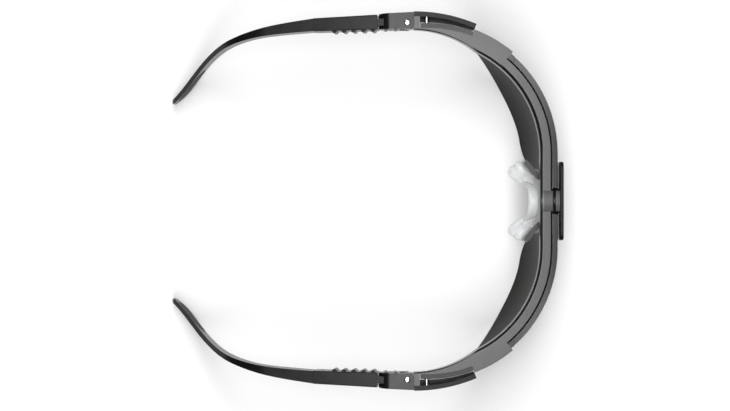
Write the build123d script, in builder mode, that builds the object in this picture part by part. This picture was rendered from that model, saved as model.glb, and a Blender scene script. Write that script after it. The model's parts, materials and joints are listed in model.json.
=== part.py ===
"""Wraparound carrier eyewear with a one-piece shield, adjustable temples and a clear nose saddle.

Frame: millimetres, +Z up, the front faces -Y, +X is the wearer's left. The eyewear stands on a flat
surface on the lower edge of the shield and on the ends of the temples. In plan, "depth" is measured back
from the brow front; the left half is drawn and the right half is mirrored from it.
"""

from build123d import *
import os
from math import atan2, cos, degrees, hypot, radians, sin, tan

os.makedirs("parts", exist_ok=True)

# ---- shield ----
front_flat = 19.0  # half length of the straight middle of the front
wrap_radius = 53.3  # outside of the shield in plan, at its fullest height
lens_bulge = 0.8  # how far the shield stands in front of the brow front
lens_thickness = 2.0
lens_rise_radius = 74.0  # curvature of the shield from top to bottom
lens_equator = 36.0  # height where the shield is fullest
lens_top = 49.5
lens_end_top = 47.5  # top of the shield where the brow covers it
lens_end_reach = 2.8  # end of the shield behind the wrap centre
lens_round = 12.0
nose_half_base = 15.0
nose_half_top = 12.2
nose_shoulder = 22.0
nose_arch_top = 35.5

# ---- brow bar ----
brow_top = 50.0
brow_bottom = 41.0
brow_inset = 3.4  # plan radii about the wrap centre, inward of the shield's outside
brow_side_inset = 3.05
brow_inner_inset = 7.8
brow_inner_end = 2.5  # inner face of the brow end, inward of the hinge axis
cover_inset = 0.2
cover_start = 50.0  # degrees round the wrap where the brow starts to cover the shield
cover_end = 69.3
cover_thickness = 2.2
cover_gap = 0.6
brow_edge_round = 0.7
boss_radius = 5.0
boss_height = 45.4
boss_front = 1.45
lens_notch_gap = 0.25

# ---- bridge plate ----
plate_width = 31.6
plate_height = 9.6
plate_thickness = 1.2
plate_clearance = 0.1  # back of the plate to the fullest part of the shield
plate_corner = 2.4
plate_step_width = 1.6
plate_step_depth = 0.4
peg_radius = 1.5
peg_length = 3.4
peg_end_gap = 0.2

# ---- side clip ----
clip_gap = 0.15
clip_thickness = 2.05
clip_spread = 1.45  # how far the clip stands away from the wrap at the hinge end
clip_height = 10.6
clip_middle = 44.3
clip_round = 3.2
clip_bow = 1.3  # how far the clip bows outward at mid length
clip_web = 1.0  # wall closing the slot along the clip's lower edge
clip_web_gap = 0.1
clip_pin_radius = 0.8
clip_pin_reach = 0.2  # pin behind the wrap centre
clip_pin_height = 44.2
clip_pin_proud = 1.1  # pin end, outward of the clip's outer radius
end_block_depth = 2.3  # length of the solid end of the brow, in front of the hinge

# ---- hinge ----
hinge_inset = 0.8  # hinge axis inward of the shield's widest point
hinge_behind_wrap = 8.1
block_height = 9.2
ear_radius = 2.65
butt_distance = 2.65  # hinge axis to the front face of the block
frame_gap = 0.1
knuckle_radius = 2.5
knuckle_height = 4.4
ear_slot_height = 4.6
ear_slot_reach = 2.9
block_outer = 4.2  # outer face of the block, outward of the hinge axis
block_outer_rear = 3.5
block_inner = 2.6
screw_radius = 0.7
screw_head_radius = 1.25
screw_head_height = 0.8
screw_recess = 0.5
screw_clearance = 0.05
screw_tail_gap = 0.3
cross_length = 1.7
cross_width = 0.42
cross_depth = 0.45

# ---- tilt pivot ----
pivot_behind_hinge = 6.8
pivot_offset = 0.4
temple_yaw = 1.8
temple_slope = 7.0
tilt_pin_radius = 0.8
running_clearance = 0.05
neck_width = 2.8
neck_half_height = 2.8
disc_radius = 3.0
slot_side_clearance = 0.1
slot_front_clearance = 0.25
slot_ceiling = 3.3  # above the pivot
slot_cover_length = 2.6  # covered length behind the pivot

# ---- sleeve ----
sleeve_front_gap = 0.3
sleeve_end = 30.6
sleeve_half_front = 3.0
sleeve_half_end = 2.65
sleeve_half_height = 4.3
sleeve_edge_round = 0.5
rib_radius = 1.05
rib_bury = 0.15
rib_height = 6.0
rib_pitch = 3.9
rib_first = 5.7  # from the pivot to the first rib on the sleeve
sleeve_ribs = 5
block_ribs = 2

# ---- telescoping tongue ----
length_travel = 9.6
length_steps = 3
channel_front = 9.0
tongue_start = 9.8
tongue_half_width = 0.9
tongue_half_height = 2.2
tongue_clearance = 0.1
stop_pin_radius = 0.7
stop_pin_position = 27.4
stop_slot_clearance = 0.15
detent_radius = 0.5

# ---- temple arm: (sideways, back) from the hinge axis along the outer face, and the thickness there ----
arm_outer_face = [
    ((2.1, 36.9), 5.1),
    ((1.1, 44.0), 4.6),
    ((0.1, 50.5), 4.1),
    ((-1.5, 58.4), 3.4),
    ((-4.1, 67.4), 2.6),
    ((-7.7, 76.2), 2.1),
    ((-14.4, 84.9), 1.9),
    ((-19.5, 89.7), 1.9),
    ((-24.6, 94.4), 1.9),
    ((-28.6, 98.8), 1.8),
]
arm_height = 8.0
arm_straight_end = 50.0  # from the pivot
arm_bend_radius = 24.0
arm_bend_angle = 43.0
paddle_width = 9.4
paddle_length = 22.0
arm_start_gap = 0.1
arm_tip_reach = 0.3  # rearmost point of the rounded tip, behind the outer face's end

# ---- tip pad ----
pad_length = 15.0
pad_width = 5.8
pad_proud = 0.4
pad_sink = 0.6
pad_clearance = 0.05
pad_points = 5  # points of the arm's inner edge, from its tip, that the pad follows
pad_lean = 0.7  # share of the pad's thickness direction that points sideways

# ---- nose bracket and saddle ----
bracket_bottom = 36.4
bracket_top = 40.3
bracket_front = 4.0
bracket_thickness = 2.2
bracket_half = 9.0
bracket_peg_radius = 0.8
bracket_peg_offset = 7.2
bracket_peg_depth = 5.2
bracket_peg_rise = 1.6
fit_clearance = 0.03
tab_thickness = 2.0
tab_length = 4.6
tab_turn = 38.0  # direction of the tab's length in plan, degrees from sideways
tab_bottom = 26.5
tab_middle = (13.6, 10.6)
saddle_radius = 6.6
saddle_thickness = 1.5
saddle_centre_height = 32.2
saddle_front = 8.0
saddle_foot = 4.8  # side of the block joining the band to each pad
saddle_depth = 4.3
pad_centre = (10.4, 13.9, 25.5)
nose_pad_height = 14.5
nose_pad_width = 10.4
nose_pad_thickness = 2.6
nose_pad_turn = 53.0  # direction of the pad's length in plan, degrees from sideways
nose_pad_lean = 14.0
nose_pad_edge = 0.9
socket_height = 8.6
socket_floor = 1.2
socket_thickness = 4.2
socket_clearance = 0.1
pocket_depth = 1.4
pocket_border = 2.4

# ---- derived ----
brow_outer = wrap_radius - brow_inset
brow_side_outer = wrap_radius - brow_side_inset
brow_inner = wrap_radius - brow_inner_inset
cover_outer = wrap_radius - cover_inset
clip_inner = wrap_radius + clip_gap
sleeve_front = block_height / 2 + sleeve_front_gap
wrap_depth = wrap_radius - lens_bulge
plate_gap = lens_bulge + plate_clearance
lens_end_depth = wrap_depth + lens_end_reach
clip_pin_depth = wrap_depth + clip_pin_reach
hinge_side = front_flat + wrap_radius - hinge_inset
hinge_depth = wrap_depth + hinge_behind_wrap
frame_end = hinge_depth - butt_distance - frame_gap
block_bottom = brow_top - block_height
block_middle = brow_top - block_height / 2
pivot_side = hinge_side + pivot_offset
pivot_depth = hinge_depth + pivot_behind_hinge
plate_front = -plate_gap - plate_thickness
overall_depth = hinge_depth + arm_outer_face[-1][0][1] + arm_tip_reach - plate_front
front_y = -overall_depth / 2 - plate_front
half_width = front_flat + clip_inner + clip_thickness + clip_spread
reach = 2 * half_width


def plan(height: float) -> Plane:
    """Level plane at a height, with its origin on the middle of the brow front."""
    return Plane(origin=(0, front_y, height))


def side(offset: float) -> Plane:
    """Upright plane facing sideways: its first axis is depth and its second is height."""
    return Plane(origin=(offset, front_y, 0), x_dir=(0, 1, 0), z_dir=(1, 0, 0))


def front(depth: float) -> Plane:
    """Upright plane facing forwards at a depth: its first axis is sideways and its second is height."""
    return Plane(origin=(0, front_y + depth, 0), x_dir=(1, 0, 0), z_dir=(0, -1, 0))


pivot_point = Location((pivot_side, front_y + pivot_depth, block_middle))
yaw_frame = Plane(pivot_point * Location((0, 0, 0), (0, 0, temple_yaw)))
arm_frame = Plane(pivot_point * Location((0, 0, 0), (0, 0, temple_yaw)) * Location((0, 0, 0), (-temple_slope, 0, 0)))


def across(frame: Plane, back: float, up: float) -> Plane:
    """Plane square to a temple's sideways axis, its origin a distance back and up from the pivot."""
    return Plane(
        origin=frame.from_local_coords(Vector(0, back, up)),
        x_dir=frame.y_dir,
        z_dir=frame.x_dir,
    )


def wrap_point(radius: float, angle: float) -> tuple[float, float]:
    """Plan point on a circle about the wrap centre, the angle taken from straight ahead."""
    return (front_flat + radius * sin(radians(angle)), wrap_depth - radius * cos(radians(angle)))


def wrap_arc(radius: float, start: float, end: float) -> None:
    """Draw an arc about the wrap centre."""
    ThreePointArc(
        wrap_point(radius, start),
        wrap_point(radius, (start + end) / 2),
        wrap_point(radius, end),
    )


def wrap_band_edges(inner: float, outer: float, start: float, end: float) -> None:
    """Draw the edges of a band between two arcs about the wrap centre."""
    wrap_arc(inner, start, end)
    Line(wrap_point(inner, end), wrap_point(outer, end))
    wrap_arc(outer, end, start)
    Line(wrap_point(outer, start), wrap_point(inner, start))


def draw_lens_strip() -> None:
    """Draw the shield's upright section: a curved strip from the lower edge to the top."""
    with Locations((lens_rise_radius - lens_bulge, lens_equator)):
        Circle(lens_rise_radius)
        Circle(lens_rise_radius - lens_thickness, mode=Mode.SUBTRACT)
    with Locations((lens_rise_radius / 4, lens_top / 2)):
        Rectangle(lens_rise_radius / 2 + 2 * lens_bulge, lens_top, mode=Mode.INTERSECT)


# ---- shield lens ----
lens_sweep_start = 12.0
lens_sweep_points = [(19.0, 2.0), (28.4, 12.0), (36.6, 23.5), (46.0, 34.0)]
lens_end_bottom = 39.0
lens_cover_start = wrap_point(cover_outer, cover_start)[1] - cover_gap
wrap_axis = Axis((front_flat, front_y + wrap_depth, 0), (0, 0, 1))

with BuildPart() as shield_lens:
    with BuildSketch(side(0)):
        draw_lens_strip()
    extrude(amount=front_flat)
    with BuildSketch(side(front_flat)):
        draw_lens_strip()
    revolve(axis=wrap_axis, revolution_arc=95)
    mirror(about=Plane.YZ)
    with BuildSketch(side(0)):
        with BuildLine():
            Line((-lens_rise_radius, 0), (lens_sweep_start, 0))
            Spline(
                (lens_sweep_start, 0),
                *lens_sweep_points,
                (lens_end_depth, lens_end_bottom),
                tangents=[(1, 0), (1, 0.5)],
            )
            Polyline(
                (lens_end_depth, lens_end_bottom),
                (lens_end_depth, lens_end_top),
                (lens_cover_start, lens_end_top),
                (lens_cover_start, lens_top),
                (-lens_rise_radius, lens_top),
                (-lens_rise_radius, 0),
            )
        make_face()
    extrude(amount=reach, both=True, mode=Mode.INTERSECT)
    with BuildSketch(front(0)):
        with Locations((0, lens_top / 2)):
            Rectangle(2 * reach, lens_top)
        with BuildLine():
            Line((-nose_half_base, 0), (-nose_half_top, nose_shoulder))
            ThreePointArc((-nose_half_top, nose_shoulder), (0, nose_arch_top), (nose_half_top, nose_shoulder))
            Line((nose_half_top, nose_shoulder), (nose_half_base, 0))
            Line((nose_half_base, 0), (-nose_half_base, 0))
        make_face(mode=Mode.SUBTRACT)
        nose_corners = vertices().filter_by(lambda v: abs(abs(v.X) - nose_half_base) < 0.01)
        fillet(nose_corners, lens_round)
    extrude(amount=reach, both=True, mode=Mode.INTERSECT)
    with BuildSketch(front(-lens_bulge - 1)):
        with Locations((0, boss_height)):
            Circle(boss_radius + lens_notch_gap)
        with Locations((0, boss_height + boss_radius)):
            Rectangle(2 * (boss_radius + lens_notch_gap), 2 * boss_radius)
    extrude(amount=-brow_outer / 4, mode=Mode.SUBTRACT)
    with BuildSketch(side(-reach)):
        with Locations((clip_pin_depth, clip_pin_height)):
            Circle(clip_pin_radius + running_clearance)
    extrude(amount=2 * reach, mode=Mode.SUBTRACT)
shield_lens.part.label = "shield_lens"
export_step(shield_lens.part, "parts/shield_lens.step")

# ---- brow bar with its boss, cover flanges, solid ends and hinge knuckles ----
inner_end_side = hinge_side - brow_inner_end
inner_lip_turn = 65.0
lip_start = wrap_point(brow_inner, inner_lip_turn)
clip_end_side = front_flat + clip_inner + clip_spread
lip_middle = (inner_end_side - 2.7, wrap_depth - 8.6)

with BuildPart() as brow_bar:
    with BuildSketch(plan(brow_bottom)):
        with BuildLine():
            Line((0, wrap_depth - brow_outer), wrap_point(brow_outer, 0))
            wrap_arc(brow_outer, 0, cover_start)
            Line(wrap_point(brow_outer, cover_start), wrap_point(brow_side_outer, cover_start))
            wrap_arc(brow_side_outer, cover_start, 90)
            Line(wrap_point(brow_side_outer, 90), (front_flat + brow_side_outer, frame_end))
            Line((front_flat + brow_side_outer, frame_end), (inner_end_side, frame_end))
            ThreePointArc((inner_end_side, frame_end), lip_middle, lip_start)
            wrap_arc(brow_inner, inner_lip_turn, 0)
            Line(wrap_point(brow_inner, 0), (0, wrap_depth - brow_inner))
            Line((0, wrap_depth - brow_inner), (0, wrap_depth - brow_outer))
        make_face()
    extrude(amount=brow_top - brow_bottom)
    with BuildSketch(plan(brow_top - cover_thickness)):
        with BuildLine():
            wrap_band_edges(brow_outer - 1, cover_outer, cover_start, cover_end)
        make_face()
    extrude(amount=cover_thickness)
    with BuildSketch(plan(block_bottom)):
        with Locations(((inner_end_side + clip_end_side) / 2, frame_end - end_block_depth / 2)):
            Rectangle(clip_end_side - inner_end_side, end_block_depth)
    extrude(amount=block_height)
    with BuildSketch(plan(block_middle - knuckle_height / 2)):
        with Locations((hinge_side, hinge_depth)):
            Circle(knuckle_radius)
        with Locations((hinge_side, (hinge_depth + frame_end) / 2)):
            Rectangle(2 * knuckle_radius, hinge_depth - frame_end)
        with Locations((hinge_side, hinge_depth)):
            Circle(screw_radius + screw_clearance, mode=Mode.SUBTRACT)
    extrude(amount=knuckle_height)
    mirror(about=Plane.YZ)
    top_edges = edges().filter_by_position(Axis.Z, brow_top, brow_top)
    long_edges = top_edges.filter_by(lambda e: e.length > plate_width)
    fillet(long_edges, brow_edge_round)
    with BuildSketch(front(boss_front)):
        with Locations((0, boss_height)):
            Circle(boss_radius)
    extrude(amount=-(wrap_depth - brow_inner - boss_front))
    with BuildSketch(front(boss_front)):
        with Locations((0, boss_height)):
            Circle(peg_radius + fit_clearance)
    extrude(amount=-(peg_length + peg_end_gap), mode=Mode.SUBTRACT)
    with BuildSketch(side(-reach)):
        with Locations((clip_pin_depth, clip_pin_height)):
            Circle(clip_pin_radius + fit_clearance)
    extrude(amount=2 * reach, mode=Mode.SUBTRACT)
    with BuildSketch(plan(brow_bottom)):
        with Locations((bracket_peg_offset, bracket_peg_depth), (-bracket_peg_offset, bracket_peg_depth)):
            Circle(bracket_peg_radius + fit_clearance)
    extrude(amount=bracket_peg_rise + peg_end_gap, mode=Mode.SUBTRACT)
brow_bar.part.label = "brow_bar"
export_step(brow_bar.part, "parts/brow_bar.step")

# ---- bridge plate with its stub and peg ----
with BuildPart() as bridge_plate:
    with BuildSketch(front(-plate_gap)):
        with Locations((0, boss_height - 1)):
            RectangleRounded(plate_width, plate_height, plate_corner)
    extrude(amount=plate_thickness)
    fillet(faces().sort_by(Axis.Y)[0].edges(), plate_step_depth)
    with BuildSketch(front(plate_front)):
        with Locations(
            ((plate_width - plate_step_width) / 2, boss_height - 1),
            (-(plate_width - plate_step_width) / 2, boss_height - 1),
        ):
            Rectangle(plate_step_width, plate_height / 2)
    extrude(amount=-plate_step_depth, mode=Mode.SUBTRACT)
    with BuildSketch(front(-plate_gap)):
        with Locations((0, boss_height)):
            Circle(boss_radius - fit_clearance)
    extrude(amount=-(boss_front + plate_gap))
    with BuildSketch(front(boss_front)):
        with Locations((0, boss_height)):
            Circle(peg_radius)
    extrude(amount=-peg_length)
bridge_plate.part.label = "bridge_plate"
export_step(bridge_plate.part, "parts/bridge_plate.step")

# ---- side clip ----
clip_outer = clip_inner + clip_thickness
clip_front = wrap_point(clip_inner, cover_end)[1]
clip_bottom = clip_middle - clip_height / 2
web_end = frame_end - end_block_depth - clip_web_gap


def bowed(start: tuple[float, float], end: tuple[float, float]) -> list[tuple[float, float]]:
    """Give the ends and the outward-bowed middle of one of the clip's long faces."""
    return [start, ((start[0] + end[0]) / 2 + clip_bow, (start[1] + end[1]) / 2), end]


with BuildPart() as side_clip:
    with BuildSketch(plan(0)):
        with BuildLine():
            ThreePointArc(*bowed(wrap_point(clip_inner, cover_end), (clip_end_side, frame_end - end_block_depth)))
            Polyline(
                (clip_end_side, frame_end - end_block_depth),
                (clip_end_side, frame_end),
                (half_width, frame_end),
            )
            ThreePointArc(*bowed((half_width, frame_end), wrap_point(clip_outer, cover_end)))
            Line(wrap_point(clip_outer, cover_end), wrap_point(clip_inner, cover_end))
        make_face()
    extrude(amount=brow_top)
    with BuildSketch(plan(clip_bottom)):
        with BuildLine():
            wrap_arc(clip_inner, cover_end, 90)
            Polyline(
                wrap_point(clip_inner, 90),
                (front_flat + clip_inner, web_end),
                (clip_end_side, web_end),
            )
            ThreePointArc(*bowed((clip_end_side, web_end), wrap_point(clip_inner, cover_end)))
        make_face()
    extrude(amount=clip_web)
    with BuildSketch(side(0)):
        with Locations(((clip_front + frame_end) / 2, clip_middle)):
            Rectangle(frame_end - clip_front + 2 * lens_bulge, clip_height)
        fillet(vertices().group_by(Axis.Y)[0], clip_round)
    extrude(amount=reach, mode=Mode.INTERSECT)
    with BuildSketch(side(0)):
        with Locations((clip_pin_depth, clip_pin_height)):
            Circle(clip_pin_radius + fit_clearance)
    extrude(amount=reach, mode=Mode.SUBTRACT)

with BuildPart() as clip_pin:
    with BuildSketch(side(inner_end_side - 0.6)):
        with Locations((clip_pin_depth, clip_pin_height)):
            Circle(clip_pin_radius)
    extrude(amount=front_flat + clip_outer + clip_pin_proud - (inner_end_side - 0.6))

# ---- hinge block: two ears round the knuckle, two cheeks round the sleeve's neck ----
block_rear = pivot_depth + block_height / 2

with BuildPart() as hinge_block:
    with BuildSketch(plan(block_bottom)):
        with BuildLine():
            Polyline(
                (hinge_side, hinge_depth - butt_distance),
                (hinge_side + block_outer, hinge_depth - butt_distance),
                (hinge_side + block_outer_rear, block_rear),
                (hinge_side - block_inner, block_rear),
                (hinge_side - block_inner, hinge_depth),
                (hinge_side, hinge_depth),
                (hinge_side, hinge_depth - butt_distance),
            )
        make_face()
        with Locations((hinge_side, hinge_depth)):
            Circle(ear_radius)
    extrude(amount=block_height)
    with Locations(
        *[
            yaw_frame.location * Location((-block_inner + rib_bury, rib_first - rib_pitch * (n + 1), -rib_height / 2))
            for n in range(block_ribs)
        ]
    ):
        Cylinder(rib_radius, rib_height, align=(Align.CENTER, Align.CENTER, Align.MIN))
    with BuildSketch(across(yaw_frame, 0, 0)):
        Circle(block_height / 2)
        with Locations((-block_rear / 2, 0)):
            Rectangle(block_rear, block_height)
    extrude(amount=reach, both=True, mode=Mode.INTERSECT)
    with BuildSketch(plan(block_middle - ear_slot_height / 2)):
        with Locations((hinge_side, hinge_depth + ear_slot_reach - 2 * block_height)):
            Rectangle(reach, 4 * block_height)
    extrude(amount=ear_slot_height, mode=Mode.SUBTRACT)
    with BuildSketch(yaw_frame.offset(-block_height)):
        with Locations((0, block_height - disc_radius - slot_front_clearance)):
            Rectangle(neck_width + 2 * slot_side_clearance, 2 * block_height)
    extrude(amount=block_height + slot_ceiling, mode=Mode.SUBTRACT)
    with BuildSketch(yaw_frame):
        with Locations((0, slot_cover_length + block_height)):
            Rectangle(neck_width + 2 * slot_side_clearance, 2 * block_height)
    extrude(amount=block_height, mode=Mode.SUBTRACT)
    with BuildSketch(across(yaw_frame, 0, 0)):
        Circle(tilt_pin_radius + fit_clearance)
    extrude(amount=reach, both=True, mode=Mode.SUBTRACT)
    with BuildSketch(plan(brow_top)):
        with Locations((hinge_side, hinge_depth)):
            Circle(screw_head_radius + fit_clearance)
    extrude(amount=-screw_recess, mode=Mode.SUBTRACT)
    with BuildSketch(plan(brow_top)):
        with Locations((hinge_side, hinge_depth)):
            Circle(screw_radius + fit_clearance)
    extrude(amount=-2 * block_height, mode=Mode.SUBTRACT)

# ---- hinge screw ----
with BuildPart() as hinge_screw:
    with BuildSketch(plan(brow_top - screw_recess)):
        with Locations((hinge_side, hinge_depth)):
            Circle(screw_head_radius)
    extrude(amount=screw_head_height)
    fillet(faces().sort_by(Axis.Z)[-1].edges(), screw_head_height / 3)
    with BuildSketch(plan(block_bottom + screw_tail_gap)):
        with Locations((hinge_side, hinge_depth)):
            Circle(screw_radius)
    extrude(until=Until.NEXT)
    with BuildSketch(plan(brow_top - screw_recess + screw_head_height)):
        with Locations((hinge_side, hinge_depth)):
            Rectangle(cross_length, cross_width)
            Rectangle(cross_width, cross_length)
    extrude(amount=-cross_depth, mode=Mode.SUBTRACT)

# ---- tilt pin ----
with BuildPart() as tilt_pin:
    with BuildSketch(across(yaw_frame, 0, 0)):
        Circle(tilt_pin_radius)
    extrude(amount=block_inner - 0.1, both=True)

# ---- sleeve ----
sleeve_taper = (sleeve_half_front - sleeve_half_end) / (sleeve_end - sleeve_front)

with BuildPart() as temple_sleeve:
    with BuildSketch(arm_frame.offset(-sleeve_half_height)):
        with BuildLine():
            Polyline(
                (-sleeve_half_front, sleeve_front),
                (sleeve_half_front, sleeve_front),
                (sleeve_half_end, sleeve_end),
                (-sleeve_half_end, sleeve_end),
                (-sleeve_half_front, sleeve_front),
            )
        make_face()
    extrude(amount=2 * sleeve_half_height)
    long_edges = edges().filter_by(lambda e: abs(e.length - (sleeve_end - sleeve_front)) < 0.1)
    fillet(long_edges, sleeve_edge_round)
    with Locations(
        *[
            arm_frame.location
            * Location(
                (
                    -sleeve_half_front + sleeve_taper * (rib_first + rib_pitch * n - sleeve_front) + rib_bury,
                    rib_first + rib_pitch * n + rib_radius,
                    0,
                )
            )
            for n in range(sleeve_ribs)
        ]
    ):
        Cylinder(rib_radius, rib_height)
    with BuildSketch(across(arm_frame, 0, 0)):
        Circle(disc_radius)
        with Locations(((sleeve_front + 0.5) / 2, 0)):
            Rectangle(sleeve_front + 0.5, 2 * neck_half_height)
        Circle(tilt_pin_radius + running_clearance, mode=Mode.SUBTRACT)
    extrude(amount=neck_width / 2, both=True)
    with BuildSketch(arm_frame.offset(-tongue_half_height - tongue_clearance)):
        with Locations((0, (channel_front + sleeve_end + 1) / 2)):
            Rectangle(2 * (tongue_half_width + tongue_clearance), sleeve_end + 1 - channel_front)
    extrude(amount=2 * (tongue_half_height + tongue_clearance), mode=Mode.SUBTRACT)
    with BuildSketch(across(arm_frame, stop_pin_position, 0)):
        Circle(stop_pin_radius + fit_clearance)
    extrude(amount=reach, both=True, mode=Mode.SUBTRACT)

# ---- stop pin ----
with BuildPart() as stop_pin:
    with BuildSketch(across(arm_frame, stop_pin_position, 0)):
        Circle(stop_pin_radius)
    extrude(amount=sleeve_half_end - 0.05, both=True)

# ---- temple arm ----
straight_drop = tan(radians(temple_slope))
straight_front = (pivot_depth + sleeve_end / 2, block_middle - straight_drop * sleeve_end / 2)
straight_back = (pivot_depth + arm_straight_end, block_middle - straight_drop * arm_straight_end)
ear_heading = temple_slope + arm_bend_angle
bend_drop = arm_bend_radius * (cos(radians(temple_slope)) - cos(radians(ear_heading)))
bend_run = arm_bend_radius * (sin(radians(ear_heading)) - sin(radians(temple_slope)))
ear_start = (straight_back[0] + bend_run, straight_back[1] - bend_drop)
ear_length = (ear_start[1] - paddle_width / 2) / sin(radians(ear_heading))
ear_end = (ear_start[0] + ear_length * cos(radians(ear_heading)), paddle_width / 2)


def arm_edges() -> tuple[list, list, tuple[float, float]]:
    """Work out the arm's outer and inner plan edges and the middle of its rounded tip."""
    outer = [(x + hinge_side, y + hinge_depth) for (x, y), _ in arm_outer_face]
    inner = []
    for n, (x, y) in enumerate(outer):
        before = outer[max(n - 1, 0)]
        after = outer[min(n + 1, len(outer) - 1)]
        run = hypot(after[0] - before[0], after[1] - before[1])
        along = ((after[0] - before[0]) / run, (after[1] - before[1]) / run)
        thickness = arm_outer_face[n][1]
        inner.append((x - along[1] * thickness, y + along[0] * thickness))
    tip = (
        (outer[-1][0] + inner[-1][0]) / 2 + along[0] * thickness / 2,
        (outer[-1][1] + inner[-1][1]) / 2 + along[1] * thickness / 2,
    )
    return outer, inner, tip


def back_along_ear(distance: float) -> tuple[float, float]:
    """Side-view point on the ear piece, a distance back up from the middle of its rounded end."""
    return (
        ear_end[0] - distance * cos(radians(ear_heading)),
        ear_end[1] + distance * sin(radians(ear_heading)),
    )


def draw_tip_pad_outline(grow: float) -> None:
    """Draw the soft pad's outline in side view, larger all round by an amount."""
    with Locations(back_along_ear(pad_length / 2 - 1)):
        SlotOverall(pad_length + 2 * grow, pad_width + 2 * grow, rotation=-ear_heading)


def tip_pad_strip_edges(proud: float, sink: float) -> None:
    """Draw the edges of the plan strip along the arm's inner edge that the soft pad takes up."""
    lean = (pad_lean, (1 - pad_lean**2) ** 0.5)
    inner = arm_edges()[1][-pad_points:]
    near = [(x - proud * lean[0], y - proud * lean[1]) for x, y in inner]
    far = [(x + sink * lean[0], y + sink * lean[1]) for x, y in inner]
    Spline(*near)
    Line(near[-1], far[-1])
    Spline(*reversed(far))
    Line(far[0], near[0])


with BuildSketch() as paddle:
    with Locations(ear_end):
        Circle(paddle_width / 2)
    with Locations(back_along_ear(paddle_length)):
        Circle(arm_height / 2)
    make_hull()

with BuildPart() as temple_arm:
    with BuildSketch(plan(0)):
        outer_points, inner_points, tip_point = arm_edges()
        with BuildLine():
            Spline(*outer_points)
            ThreePointArc(outer_points[-1], tip_point, inner_points[-1])
            Spline(*reversed(inner_points))
            Line(inner_points[0], outer_points[0])
        make_face()
    extrude(amount=brow_top)
    with BuildSketch(side(0)):
        with BuildLine():
            straight = Line(straight_front, straight_back)
            bend = JernArc(straight @ 1, straight % 1, arm_bend_radius, -arm_bend_angle)
            Line(bend @ 1, ear_end)
        trace(line_width=arm_height)
        add(paddle.sketch)
    extrude(amount=reach, mode=Mode.INTERSECT)
    with BuildSketch(arm_frame.offset(-reach / 2)):
        with Locations((0, sleeve_end + arm_start_gap - reach / 2)):
            Rectangle(reach, reach)
    extrude(amount=reach, mode=Mode.SUBTRACT)
    with BuildSketch(plan(0)):
        with BuildLine():
            tip_pad_strip_edges(2 * pad_proud, pad_sink + pad_clearance)
        make_face()
    with BuildSketch(side(0), mode=Mode.PRIVATE) as pad_window:
        draw_tip_pad_outline(pad_clearance)
    pocket = extrude(amount=brow_top, mode=Mode.PRIVATE)
    window = extrude(pad_window.sketch, amount=reach, mode=Mode.PRIVATE)
    add(pocket & window, mode=Mode.SUBTRACT)
    tongue_middle = (tongue_start + sleeve_end + 1) / 2
    with BuildSketch(across(arm_frame, 0, 0)):
        with Locations((tongue_middle, 0)):
            Rectangle(sleeve_end + 1 - tongue_start, 2 * tongue_half_height)
        slot_start = stop_pin_position - length_travel
        with Locations((stop_pin_position - length_travel / 2, 0)):
            SlotOverall(
                length_travel + 2 * (stop_pin_radius + stop_slot_clearance),
                2 * (stop_pin_radius + stop_slot_clearance),
                mode=Mode.SUBTRACT,
            )
        with Locations(
            *[
                (tongue_start + 2 + n * length_travel / length_steps, tongue_half_height)
                for n in range(length_steps + 1)
            ]
        ):
            Circle(detent_radius, mode=Mode.SUBTRACT)
    extrude(amount=tongue_half_width, both=True)

# ---- soft pad on the inner face of the ear piece ----
with BuildPart() as tip_pad:
    with BuildSketch(plan(0)):
        with BuildLine():
            tip_pad_strip_edges(pad_proud, pad_sink)
        make_face()
    extrude(amount=brow_top)
    with BuildSketch(side(0)):
        draw_tip_pad_outline(0)
    extrude(amount=reach, mode=Mode.INTERSECT)

# ---- nose bracket: a bar under the brow and a tab each side ----
pad_frame = Plane(
    Location((pad_centre[0], front_y + pad_centre[1], pad_centre[2]))
    * Location((0, 0, 0), (0, 0, nose_pad_turn))
    * Location((0, 0, 0), (90 - nose_pad_lean, 0, 0))
)

wing_front = (bracket_half - 1, bracket_front + bracket_thickness / 2)
wing_back = (
    tab_middle[0] - tab_length / 2 * cos(radians(tab_turn)),
    tab_middle[1] - tab_length / 2 * sin(radians(tab_turn)),
)
wing_length = hypot(wing_back[0] - wing_front[0], wing_back[1] - wing_front[1])
wing_turn = degrees(atan2(wing_back[1] - wing_front[1], wing_back[0] - wing_front[0]))


def draw_wing(grow: float) -> None:
    """Draw the bracket's link from its bar to its tab in plan, wider all round by an amount."""
    with Locations(((wing_front[0] + wing_back[0]) / 2, (wing_front[1] + wing_back[1]) / 2)):
        SlotOverall(wing_length + tab_thickness + 2 * grow, tab_thickness + 2 * grow, rotation=wing_turn)


def draw_tab(grow: float) -> None:
    """Draw the bracket's tab in plan, wider all round by an amount."""
    with Locations(tab_middle):
        SlotOverall(tab_length + tab_thickness + 2 * grow, tab_thickness + 2 * grow, rotation=tab_turn)


with BuildPart() as nose_bracket:
    with BuildSketch(plan(bracket_bottom)):
        with Locations((0, bracket_front + bracket_thickness / 2)):
            Rectangle(2 * bracket_half, bracket_thickness)
        draw_wing(0)
    extrude(amount=bracket_top - bracket_bottom)
    with BuildSketch(plan(tab_bottom)):
        draw_tab(0)
    extrude(amount=bracket_top - tab_bottom)
    mirror(about=Plane.YZ)
    with BuildSketch(plan(bracket_top)):
        with Locations((bracket_peg_offset, bracket_peg_depth), (-bracket_peg_offset, bracket_peg_depth)):
            Circle(bracket_peg_radius)
    extrude(amount=brow_bottom - bracket_top + bracket_peg_rise)
nose_bracket.part.label = "nose_bracket"
export_step(nose_bracket.part, "parts/nose_bracket.step")

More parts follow.
